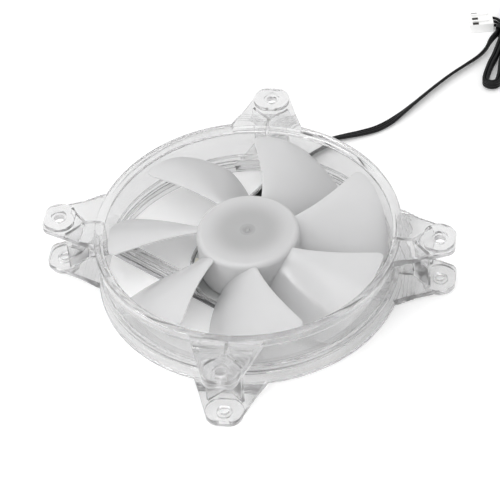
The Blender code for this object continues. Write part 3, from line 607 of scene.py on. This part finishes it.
def frostedPlastic():
    material = newMaterial(
        "frostedPlastic",
        frosted["colour"],
        frosted["roughness"][0],
        Subsurface_Weight=frosted["subsurface"],
        Subsurface_Radius=(1, 1, 1),
        Subsurface_Scale=frosted["subsurfaceScale"],
        Specular_IOR_Level=frosted["specular"],
        Coat_Weight=frosted["coat"],
        Coat_Roughness=frosted["coatRoughness"],
    )
    keys = ("colour", "other", "scale", "roughness", "grainScale", "bump")
    mottled(material, *(frosted[key] for key in keys))
    nodes, links = material.node_tree.nodes, material.node_tree.links
    shader = nodes["Principled BSDF"]
    group = next(node for node in nodes if node.type == "GROUP")
    place = addNode(nodes, "TexCoord")
    split = addNode(nodes, "SeparateXYZ")
    flat = addNode(nodes, "CombineXYZ")
    far = addNode(nodes, "VectorMath")
    far.operation = "LENGTH"
    # painted shade over the steel cup, fading towards the rim and staying slight beyond it
    cupShadeMask = addFade(nodes, frosted["cupShadeReach"], frosted["cupShadeShare"])
    darker = addMix(nodes, B=frosted["cupShadeColour"])
    links.new(place.outputs["Object"], split.inputs["Vector"])
    links.new(split.outputs["X"], flat.inputs["X"])
    links.new(split.outputs["Y"], flat.inputs["Y"])
    links.new(flat.outputs["Vector"], far.inputs[0])
    links.new(far.outputs["Value"], cupShadeMask.inputs["Value"])
    links.new(cupShadeMask.outputs["Result"], darker.inputs["Factor"])
    links.new(group.outputs["Colour"], darker.inputs["A"])
    mark = addFade(nodes, frosted["markReach"], (1, 0))
    stain = addMix(nodes, B=frosted["markColour"])
    share = addNode(nodes, "Math")
    share.operation = "MULTIPLY"
    share.inputs[1].default_value = frosted["markShare"]
    polish = addNode(nodes, "MapRange", To_Max=frosted["markRoughness"])
    links.new(far.outputs["Value"], mark.inputs["Value"])
    links.new(mark.outputs["Result"], share.inputs[0])
    links.new(share.outputs["Value"], stain.inputs["Factor"])
    links.new(darker.outputs["Result"], stain.inputs["A"])
    links.new(stain.outputs["Result"], shader.inputs["Base Color"])
    links.new(group.outputs["Roughness"], polish.inputs["To Min"])
    links.new(mark.outputs["Result"], polish.inputs["Value"])
    links.new(polish.outputs["Result"], shader.inputs["Roughness"])
    return material


def plain(name, colour, other, roughness, metallic=0.0, bump=0.15, **sockets):
    material = newMaterial(name, colour, roughness[0], metallic, **sockets)
    scale, grainScale = mottling["plainScale"], mottling["plainGrain"]
    return mottled(material, colour, other, scale, roughness, grainScale, bump)


finishes = {
    "clear": clearPlastic(),
    "frosted": frostedPlastic(),
    "steel": plain("steel", (0.55, 0.55, 0.56), (0.48, 0.48, 0.5), (0.22, 0.34), 1.0),
    "laminations": plain("laminations", (0.3, 0.3, 0.32), (0.22, 0.22, 0.24), (0.35, 0.5), 1.0),
    "copper": plain("enamelledCopper", (0.62, 0.27, 0.11), (0.5, 0.2, 0.08), (0.25, 0.4), 1.0),
    "brass": plain("turnedBrass", (0.75, 0.58, 0.30), (0.66, 0.5, 0.26), (0.22, 0.35), 1.0),
    "bronze": plain("sinteredBronze", (0.5, 0.36, 0.22), (0.38, 0.27, 0.16), (0.5, 0.7), 1.0),
    "ferrite": plain("ferrite", (0.06, 0.06, 0.06), (0.04, 0.04, 0.045), (0.5, 0.7)),
    "board": plain("solderMask", (0.55, 0.56, 0.555), (0.62, 0.63, 0.625), (0.3, 0.45)),
    "led": plain("ledPackage", (0.85, 0.84, 0.75), (0.8, 0.78, 0.68), (0.25, 0.35)),
    "vinyl": plain(
        "blackVinyl",
        (0.004, 0.004, 0.0045),
        (0.008, 0.008, 0.0085),
        (0.32, 0.42),
        bump=0.1,
        Specular_IOR_Level=0.2,
    ),
    "chip": plain(
        "mouldingCompound",
        (0.02, 0.02, 0.021),
        (0.032, 0.032, 0.032),
        (0.45, 0.6),
        bump=0.3,
    ),
    # painted shade for the connector's contact windows, not the contacts' own colour
    "windowShade": plain(
        "paintedWindowShade",
        (0.03, 0.028, 0.025),
        (0.06, 0.055, 0.05),
        (0.3, 0.4),
        0.6,
    ),
    "nylon": plain(
        "naturalNylon",
        (0.95, 0.95, 0.945),
        (0.92, 0.92, 0.91),
        (0.35, 0.45),
        bump=0.1,
    ),
    "film": plain("silverFilm", (0.78, 0.78, 0.8), (0.72, 0.72, 0.74), (0.25, 0.4)),
}

nodeFinishes = {
    "bearing_tube": "brass",
    "thrust_cap": "steel",
    "sleeve_bearing": "bronze",
    "oil_seal": "vinyl",
    "retaining_clip": "steel",
    "motor_board": "board",
    "driver_chip": "chip",
    "stator_core": "laminations",
    "insulator_lower": "nylon",
    "insulator_upper": "nylon",
    "rotor_yoke": "steel",
    "ring_magnet": "ferrite",
    "rotor_shaft": "steel",
    "cable_tie": "vinyl",
    "connector": "nylon",
    "rear_label": "film",
}
nodeFinishes.update({f"led_{k}": "led" for k in range(1, 5)})
nodeFinishes.update({f"coil_{k}": "copper" for k in range(1, 5)})


def paintNodes():
    for name, finish in nodeFinishes.items():
        for slot in frame["nodes"][name].material_slots:
            slot.material = finishes[finish]


shadeMarks = {
    "from": 1.0 * mm,
    "long": 2.5 * mm,
    "wide": 1.3 * mm,
    "thick": 0.15 * mm,
    "clearance": 0.02 * mm,
    "rows": (-3.2 * mm, 0.0, 3.2 * mm),
}


# painted shade: three dark plates on the housing's top beside its rails, standing in for the shaded
# contact windows
def addShadeMarks():
    bm = bmesh.new()
    x0, x1 = shadeMarks["from"], shadeMarks["from"] + shadeMarks["long"]
    z0 = cable["connectorHeight"] + shadeMarks["clearance"]
    half = shadeMarks["wide"] / 2
    for y in shadeMarks["rows"]:
        near, far = y - half, y + half
        corners = ((x0, near, z0), (x1, near, z0), (x1, far, z0), (x0, far, z0))
        face = bm.faces.new([bm.verts.new(corner) for corner in corners])
        raised = bmesh.ops.extrude_face_region(bm, geom=[face])["geom"]
        tops = [v for v in raised if isinstance(v, bmesh.types.BMVert)]
        bmesh.ops.translate(bm, verts=tops, vec=(0, 0, shadeMarks["thick"]))
    obj = addPiece("shadedWindowMarks", move(bm, toConnector()), finishes["windowShade"])
    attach(obj, "frame")


addCable(finishes["vinyl"])
addShadeMarks()
print("cable laid")

shell = {
    "depth": 25 * mm,
    "flangeR": 59.6 * mm,
    "boreR": 56.0 * mm,
    "barrelR": 57.6 * mm,
    "flangeThick": 4.0 * mm,
    "lip": 1.1 * mm,
    "rimBevel": 0.5 * mm,
    "rimStep": 0.35 * mm,
    "ridgeZ": 6.4 * mm,
    "ridgeThick": 2.3 * mm,
    "ridgeStep": 0.8 * mm,
    "grooveThick": 1.3 * mm,
    "grooveStep": 0.5 * mm,
    "sides": 240,
    "holeAt": 52.5 * mm,
    "screwHoleR": 2.15 * mm,
    "counterboreR": 3.1 * mm,
    "counterboreDepth": 1.2 * mm,
    "earThick": 3.6 * mm,
    "earTip": 6.1 * mm,
    "earHalfWidth": 7.9 * mm,
    "earFlare": 0.38,
    "earCornerR": 3.9 * mm,
    "padInset": 0.5 * mm,
    "padBack": 6.2 * mm,
    "padBackHalf": 4.6 * mm,
    "padWidest": 1.0 * mm,
    "padBackR": 4.8 * mm,
    "padSideR": 6.2 * mm,
    "padTipR": 5.0 * mm,
    "terraces": 5,
    "terraceStart": 0.6 * mm,
    "terracePitch": 1.6 * mm,
    "terraceDrop": 0.34 * mm,
    "webThick": 1.2 * mm,
    "webForkInset": 7.4 * mm,
    "webLeg": 9.6 * mm,
    "strutWidth": 6.6 * mm,
    "strutBase": 1.4 * mm,
    "strutHeight": 3.6 * mm,
    "strutRib": 0.9 * mm,
    "strutLift": 0.4 * mm,
    "seatR": 23.8 * mm,
    "seatWall": 0.9 * mm,
    "seatFloor": 2.0 * mm,
    "seatHeight": 4.3 * mm,
    "seatLift": 0.2 * mm,
    "bossInR": 4.6 * mm,
    "bossR": 6.1 * mm,
    "bossTop": 6.0 * mm,
    "recessR": 18.8 * mm,
    "recessTop": 0.9 * mm,
    "windowTop": 3.9 * mm,
    "windowShare": (0.25, 0.75),  # the seat's window, as shares of its inner radius
    "rimWindowIn": 3.2 * mm,
    "rimWindowRise": 0.3 * mm,
    "bossFoot": 1.2 * mm,
    "past": 1 * mm,  # how far a cutter goes past a face
    "padSteps": 6,
    "holeSides": 48,
    "seatSides": 144,
    "bossSides": 64,
    "recessSides": 96,
    "edge": 0.12 * mm,
}


def barrelProfile():
    ridgeTop = shell["ridgeZ"] + shell["ridgeThick"]
    grooveTop = ridgeTop + shell["grooveThick"]
    ridgeR = shell["flangeR"] - shell["ridgeStep"]
    grooveR = shell["barrelR"] - shell["grooveStep"]
    upper = shell["depth"] - shell["flangeThick"]
    half = shell["flangeThick"] / 2
    flange, bore = shell["flangeR"], shell["boreR"]
    lip, depth = shell["lip"], shell["depth"]
    return [
        (bore + lip, 0),
        (flange - shell["rimBevel"], 0),
        (flange, shell["rimBevel"]),
        (flange, half),
        (flange - shell["rimStep"], half),
        (flange - shell["rimStep"], shell["flangeThick"]),
        (grooveR, shell["flangeThick"]),
        (grooveR, shell["ridgeZ"]),
        (ridgeR, shell["ridgeZ"]),
        (ridgeR, ridgeTop),
        (grooveR, ridgeTop),
        (grooveR, grooveTop),
        (shell["barrelR"], grooveTop),
        (shell["barrelR"], upper),
        (flange, upper),
        (flange, depth - shell["rimBevel"]),
        (flange - shell["rimBevel"], depth),
        (bore + lip, depth),
        (bore, depth - lip),
        (bore, lip),
    ]


def toCorner(corner):
    return spinZ(45 + 90 * corner) @ Matrix.Translation((shell["holeAt"] * math.sqrt(2), 0, 0))


def turnedOver(bm):
    middle = Matrix.Translation((0, 0, shell["depth"] / 2))
    return move(bm, middle @ Matrix.Rotation(math.pi, 4, "X") @ middle.inverted())


def bothFaces(make, corner, name, collection):
    for face in range(2):
        bm = make()
        if face:
            turnedOver(bm)
        hideIn(collection, f"{name}{corner}{face}", move(bm, toCorner(corner)))


def earPlate():
    wall = shell["barrelR"] - shell["boreR"]
    back = shell["holeAt"] * math.sqrt(2) - shell["boreR"] - wall / 2
    backHalf = shell["earHalfWidth"] + shell["earFlare"] * back
    tipHalf = shell["earHalfWidth"] - shell["earFlare"] * shell["earTip"]
    corners = [
        (-back, -backHalf, 0),
        (shell["earTip"], -tipHalf, shell["earCornerR"]),
        (shell["earTip"], tipHalf, shell["earCornerR"]),
        (-back, backHalf, 0),
    ]
    depth = shell["depth"]
    return prism(rounded(corners), depth - shell["earThick"], depth - shell["terraceDrop"])


def earPad():
    tip = shell["earTip"] - shell["padInset"]
    tipHalf = shell["earHalfWidth"] - shell["earFlare"] * shell["earTip"] - shell["padInset"]
    back, backHalf, widest = shell["padBack"], shell["padBackHalf"], shell["padWidest"]
    half = shell["earHalfWidth"]
    backR, sideR, tipR = shell["padBackR"], shell["padSideR"], shell["padTipR"]
    corners = [
        (-back, -backHalf, backR),
        (-widest, -half, sideR),
        (tip, -tipHalf, tipR),
        (tip, tipHalf, tipR),
        (-widest, half, sideR),
        (-back, backHalf, backR),
    ]
    foot = shell["depth"] - shell["earThick"] / 2
    return prism(rounded(corners, shell["padSteps"]), foot, shell["depth"])


def stairs():
    x = shell["flangeR"] - shell["holeAt"] * math.sqrt(2) + shell["terraceStart"]
    z = shell["depth"] - shell["terraceDrop"]
    above = shell["depth"] + shell["past"]
    outline = [(x, above)]
    for _ in range(shell["terraces"] - 1):
        outline += [(x, z), (x, z - shell["terraceDrop"])]
        x += shell["terracePitch"]
        z -= shell["terraceDrop"]
    outline = [outline[0]] + outline[2:]
    outline += [(2 * shell["earTip"], z), (2 * shell["earTip"], above)]
    reach = 3 * shell["earHalfWidth"]
    bm = prism([(x, -z) for x, z in outline], -reach, reach)
    return move(bm, Matrix.Rotation(math.radians(-90), 4, "X"))


def counterbore():
    floor = shell["depth"] - shell["counterboreDepth"]
    return disc(shell["counterboreR"], floor, shell["depth"] + shell["past"], shell["holeSides"])


def webPieces(corner, collection):
    fork = shell["holeAt"] - shell["webForkInset"]
    half = shell["webThick"] / 2
    leg = fork + shell["webLeg"]
    z0 = shell["earThick"] / 2
    z1 = shell["depth"] - z0
    inner = (shell["boreR"] + shell["barrelR"]) / 2
    boxes = {
        "stem": (45, inner, fork * math.sqrt(2) + half, -half, half),
        "legX": (0, fork - half, leg, fork - half, fork + half),
        "legY": (0, fork - half, fork + half, fork - half, leg),
    }
    for name, (degrees, *sides) in boxes.items():
        wall = move(box(*sides, z0, z1), spinZ(degrees + 90 * corner))
        hideIn(collection, f"{name}{corner}", wall)


def strut(withMiddleRib):
    half = shell["strutWidth"] / 2
    low, top = shell["strutLift"], shell["strutHeight"]
    floor = low + shell["strutBase"]
    inner = half - shell["strutRib"]
    section = [(-half, low), (half, low), (half, top), (inner, top), (inner, floor)]
    if withMiddleRib:
        middle = shell["strutRib"] / 2
        section += [(middle, floor), (middle, top), (-middle, top), (-middle, floor)]
    section += [(-inner, floor), (-inner, top), (-half, top)]
    bm = bmesh.new()
    endR = shell["boreR"] + (shell["barrelR"] - shell["boreR"]) / 3
    offset = cable["strutOffset"]
    near = [bm.verts.new((-shell["strutWidth"] / 3, y, z)) for y, z in section]
    far = [bm.verts.new((math.sqrt(endR**2 - (offset + y) ** 2), y, z)) for y, z in section]
    bm.faces.new(near)
    bm.faces.new(far)
    for k in range(len(section)):
        bm.faces.new((near[k - 1], near[k], far[k], far[k - 1]))
    return bm


def buildShell():
    obj = addPiece("clearShell", turned(barrelProfile(), shell["sides"]), finishes["clear"])
    body, cuts, raised, holes = (helpers(name) for name in ("body", "cuts", "raised", "holes"))
    past = shell["past"]
    for corner in range(4):
        bothFaces(earPlate, corner, "ear", body)
        bothFaces(stairs, corner, "stairs", cuts)
        bothFaces(earPad, corner, "pad", raised)
        bothFaces(counterbore, corner, "counterbore", holes)
        webPieces(corner, body)
        screw = disc(shell["screwHoleR"], -past, shell["depth"] + past, shell["holeSides"])
        hideIn(holes, f"screwHole{corner}", move(screw, toCorner(corner)))
    for index in range(4):
        hideIn(body, f"strut{index}", move(strut(index != cable["strut"]), toStrut(index)))
    sides = shell["seatSides"]
    hideIn(body, "seat", disc(shell["seatR"], shell["seatLift"], shell["seatHeight"], sides))
    seatInR = shell["seatR"] - shell["seatWall"]
    cavity = disc(seatInR, shell["seatFloor"], shell["seatHeight"] + 2 * past, sides)
    hideIn(cuts, "seatCavity", cavity)
    half = shell["strutWidth"] / 2 - shell["strutRib"]
    low, top = shell["seatFloor"], shell["windowTop"]
    channel = toStrut(cable["strut"])
    start, end = (seatInR * part for part in shell["windowShare"])
    hideIn(cuts, "seatWindow", move(box(start, end, -half, half, low, top), channel))
    reach = math.sqrt(shell["boreR"] ** 2 - (cable["strutOffset"] + half) ** 2)
    start, end = reach - shell["rimWindowIn"], cable["channel"][2]
    rimWindow = box(start, end, -half, half, low, top + shell["rimWindowRise"])
    hideIn(cuts, "rimWindow", move(rimWindow, channel))
    sides = shell["bossSides"]
    hideIn(raised, "boss", disc(shell["bossR"], shell["bossFoot"], shell["bossTop"], sides))
    hideIn(holes, "bossBore", disc(shell["bossInR"], -past, shell["bossTop"] + past, sides))
    hideIn(holes, "recess", disc(shell["recessR"], -past, shell["recessTop"], shell["recessSides"]))
    addBoolean(obj, "UNION", body)
    addBoolean(obj, "DIFFERENCE", cuts)
    addBoolean(obj, "UNION", raised)
    addBoolean(obj, "DIFFERENCE", holes)
    settle(obj, body, cuts, raised, holes, bevel=shell["edge"])
    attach(obj, "frame")
    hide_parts("clear_frame")


buildShell()
print("clear frame built")

fan = {
    "hubR": 20.0 * mm,
    "hubWall": 1.4 * mm,
    "hubTop": 23.3 * mm,
    "hubUnder": 21.7 * mm,
    "fillet": 2.3 * mm,
    "skirt": 4.9 * mm,
    "dimpleR": 2.4 * mm,
    "dimpleDepth": 0.4 * mm,
    "pipR": 0.9 * mm,
    "pipRise": 0.9,  # the pip's height as a share of the dimple's depth
    "dimpleSteps": 6,
    "filletSteps": 12,
    "bossR": 3.1 * mm,
    "bossInR": 1.8 * mm,
    "bossZ": 17.0 * mm,
    "hubSides": 192,
    "ribs": 8,
    "ribThick": 1.0 * mm,
    "ribZ": 8.0 * mm,
    "ribInR": 14.7 * mm,
    "blades": 7,
    "tipR": 54.4 * mm,
    "phase": -1.2,
    "sweep": 13.0,
    "sweepPower": 1.3,
    "tipChord": 38.8,
    "rootChord": 43.6,
    "power": 2.2,
    "rootPower": 1.5,
    "bladeTop": 21.6 * mm,
    "bladeBottom": 5.7 * mm,
    "rootThick": 1.9 * mm,
    "tipThick": 1.2 * mm,
    "edgeThick": 0.6 * mm,
    "flare": 1.6 * mm,  # how much the root thickens where it meets the hub
    "flareReach": 1.1 * mm,
    "corner": 3.0 * mm,
    "footShare": 0.6,  # how deep the root stands in the hub's wall
    "stations": 26,
    "stationPower": 1.5,  # above 1 packs the stations near the root
    "tipStations": 7,
    "steps": 30,
    "nudge": 0.001,  # step for the slopes
    "thickLead": 0.8,  # below 1 moves the thickest part back
    "thickPower": 0.7,
    "sharp": 40,
    "ribOverlap": 0.5 * mm,
}


def hubProfile():
    top = fan["hubTop"]
    fillet = []
    for k in range(fan["filletSteps"] + 1):
        angle = math.pi / 2 * k / fan["filletSteps"]
        r = fan["hubR"] - fan["fillet"] * (1 - math.sin(angle))
        fillet.append((r, top - fan["fillet"] * (1 - math.cos(angle))))
    dimple = []
    steps = fan["dimpleSteps"]
    for k in range(steps + 1):
        part = k / steps
        sink = 1 - math.cos(math.pi / 2 * part) ** 0.5 * fan["pipRise"]
        dimple.append((fan["pipR"] * part, top - fan["dimpleDepth"] * sink))
    for k in range(1, steps + 1):
        part = k / steps
        r = fan["pipR"] + (fan["dimpleR"] - fan["pipR"]) * part
        dimple.append((r, top - fan["dimpleDepth"] * (0.5 + 0.5 * math.cos(math.pi * part))))
    inner = fan["hubR"] - fan["hubWall"]
    return [
        *dimple,
        *fillet,
        (fan["hubR"], fan["skirt"]),
        (inner, fan["skirt"]),
        (inner, fan["hubUnder"]),
        (fan["bossR"], fan["hubUnder"]),
        (fan["bossR"], fan["bossZ"]),
        (fan["bossInR"], fan["bossZ"]),
        (fan["bossInR"], fan["hubUnder"]),
        (0, fan["hubUnder"]),
    ]


def bladePoint(r, step):
    out = max(0.0, min(1.0, (r - fan["hubR"]) / (fan["tipR"] - fan["hubR"])))
    lead = fan["phase"] - fan["sweep"] * (1 - out) ** fan["sweepPower"]
    trail = fan["phase"] - fan["tipChord"]
    trail -= (fan["rootChord"] + fan["sweep"] - fan["tipChord"]) * (1 - out)
    past = max(0.0, r - (fan["tipR"] - fan["corner"]))
    cut = fan["corner"] - math.sqrt(max(0.0, fan["corner"] ** 2 - past**2))
    lead -= math.degrees(cut / r)
    trail += math.degrees(cut / r)
    angle = math.radians(lead + (trail - lead) * step)
    power = fan["rootPower"] + (fan["power"] - fan["rootPower"]) * out
    z = fan["bladeTop"] - (fan["bladeTop"] - fan["bladeBottom"]) * step**power
    return Vector((r * math.cos(angle), r * math.sin(angle), z))


def bladeThickness(r, step):
    out = (r - fan["hubR"]) / (fan["tipR"] - fan["hubR"])
    middle = fan["rootThick"] + (fan["tipThick"] - fan["rootThick"]) * out
    swell = math.sin(math.pi * step ** fan["thickLead"]) ** fan["thickPower"]
    thick = fan["edgeThick"] + (middle - fan["edgeThick"]) * swell
    nearHub = math.exp(-max(0.0, r - fan["hubR"]) / fan["flareReach"])
    return thick + fan["flare"] * nearHub * math.sin(math.pi * step) ** 0.5


def blade():
    foot = fan["hubR"] - fan["hubWall"] * fan["footShare"]
    plainR = fan["tipR"] - fan["corner"]
    stations = []
    for k in range(fan["stations"] + 1):
        part = k / fan["stations"]
        stations.append(foot + (plainR - foot) * part ** fan["stationPower"])
    last = fan["tipStations"]
    for k in range(1, last + 1):
        stations.append(plainR + fan["corner"] * math.sin(math.pi / 2 * k / last))
    count = fan["steps"]
    steps = [0.5 - 0.5 * math.cos(math.pi * k / count) for k in range(count + 1)]
    small = fan["nudge"]
    bm = bmesh.new()
    sides = ([], [])
    for r in stations:
        for side in sides:
            side.append([])
        for step in steps:
            here = bladePoint(r, step)
            along = bladePoint(r, min(1, step + small)) - bladePoint(r, max(0, step - small))
            across = bladePoint(r + small * mm, step) - bladePoint(r - small * mm, step)
            across.z = 0
            half = bladeThickness(r, step) / 2
            normal = across.cross(along).normalized()
            for side, sign in zip(sides, (1, -1)):
                point = here + normal * (half * sign)
                point.xy = point.xy * (r / math.hypot(point.x, point.y))
                side[-1].append(bm.verts.new(point))
    upper, lower = sides
    rows, columns = len(stations), len(steps)
    for i in range(rows - 1):
        for j in range(columns - 1):
            for side in sides:
                bm.faces.new((side[i][j], side[i + 1][j], side[i + 1][j + 1], side[i][j + 1]))
        for j in (0, columns - 1):
            bm.faces.new((upper[i][j], upper[i + 1][j], lower[i + 1][j], lower[i][j]))
    for j in range(columns - 1):
        for i in (0, rows - 1):
            bm.faces.new((upper[i][j], upper[i][j + 1], lower[i][j + 1], lower[i][j]))
    return bm


def buildImpeller():
    obj = addPiece("bladedHub", turned(hubProfile(), fan["hubSides"]), finishes["frosted"])
    vanes = helpers("vanes")
    half = fan["ribThick"] / 2
    outer, top = fan["hubR"] - fan["hubWall"] / 2, fan["hubUnder"] + fan["ribOverlap"]
    for index in range(fan["ribs"]):
        rib = box(fan["ribInR"], outer, -half, half, fan["ribZ"], top)
        hideIn(vanes, f"rib{index}", move(rib, spinZ(360 / fan["ribs"] * (index + 0.5))))
    for index in range(fan["blades"]):
        hideIn(vanes, f"blade{index}", move(blade(), spinZ(360 / fan["blades"] * index)))
    addBoolean(obj, "UNION", vanes)
    settle(obj, vanes, sharp=fan["sharp"])
    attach(obj, "rotor")
    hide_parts("impeller")


buildImpeller()
print("impeller built")

paintNodes()

studio = {
    "floorColour": (0.92, 0.92, 0.92),
    "floorGlow": 0.16,
    "floorRoughness": 0.6,
    "floorHalf": 3,
    "floorZ": (-0.012, -0.0001),
    "aim": (0, 0, 0.01),
    # height of the direction and brightness
    "sky": ((0.0, 0.55), (0.35, 0.80), (0.7, 0.98), (1.0, 0.98)),
    # place, size and power
    "topBox": ((-0.3, -0.15, 0.9), (0.6, 0.5), 1.8),
    "sideBox": ((-0.84, 0.08, 0.54), (0.8, 0.1), 2.0),
}


def addFloor():
    half = studio["floorHalf"]
    bm = box(-half, half, -half, half, *studio["floorZ"])
    material = newMaterial("whiteTable", studio["floorColour"], studio["floorRoughness"])
    shader = material.node_tree.nodes["Principled BSDF"]
    shader.inputs["Emission Color"].default_value = (1, 1, 1, 1)
    shader.inputs["Emission Strength"].default_value = studio["floorGlow"]
    floor = addPiece("floor", bm, material)


def addArea(name):
    place, size, power = studio[name]
    data = bpy.data.lights.new(name, "AREA")
    data.shape = "RECTANGLE"
    data.size, data.size_y = size
    data.energy = power
    light = bpy.data.objects.new(name, data)
    bpy.context.scene.collection.objects.link(light)
    light.location = place
    aim = Vector(studio["aim"]) - Vector(place)
    light.rotation_euler = aim.to_track_quat("-Z", "Y").to_euler()


# a soft dome that is bright overhead and dim towards the horizon
def addWorld():
    world = bpy.data.worlds.new("studio")
    world.use_nodes = True
    nodes, links = world.node_tree.nodes, world.node_tree.links
    background = nodes["Background"]
    place = addNode(nodes, "TexCoord")
    split = addNode(nodes, "SeparateXYZ")
    ramp = addNode(nodes, "ValToRGB")
    steps = studio["sky"]
    elements = ramp.color_ramp.elements
    while len(elements) < len(steps):
        elements.new(0.5)
    brightest = max(light for _, light in steps)
    for element, (height, light) in zip(elements, steps):
        element.position = height
        element.color = (*[light / brightest] * 3, 1)
    background.inputs["Strength"].default_value = brightest
    links.new(place.outputs["Generated"], split.inputs["Vector"])
    links.new(split.outputs["Z"], ramp.inputs["Fac"])
    links.new(ramp.outputs["Color"], background.inputs["Color"])
    bpy.context.scene.world = world


addFloor()
addWorld()
addArea("topBox")
addArea("sideBox")
bpy.context.scene.view_settings.view_transform = "Standard"
print("stage set")
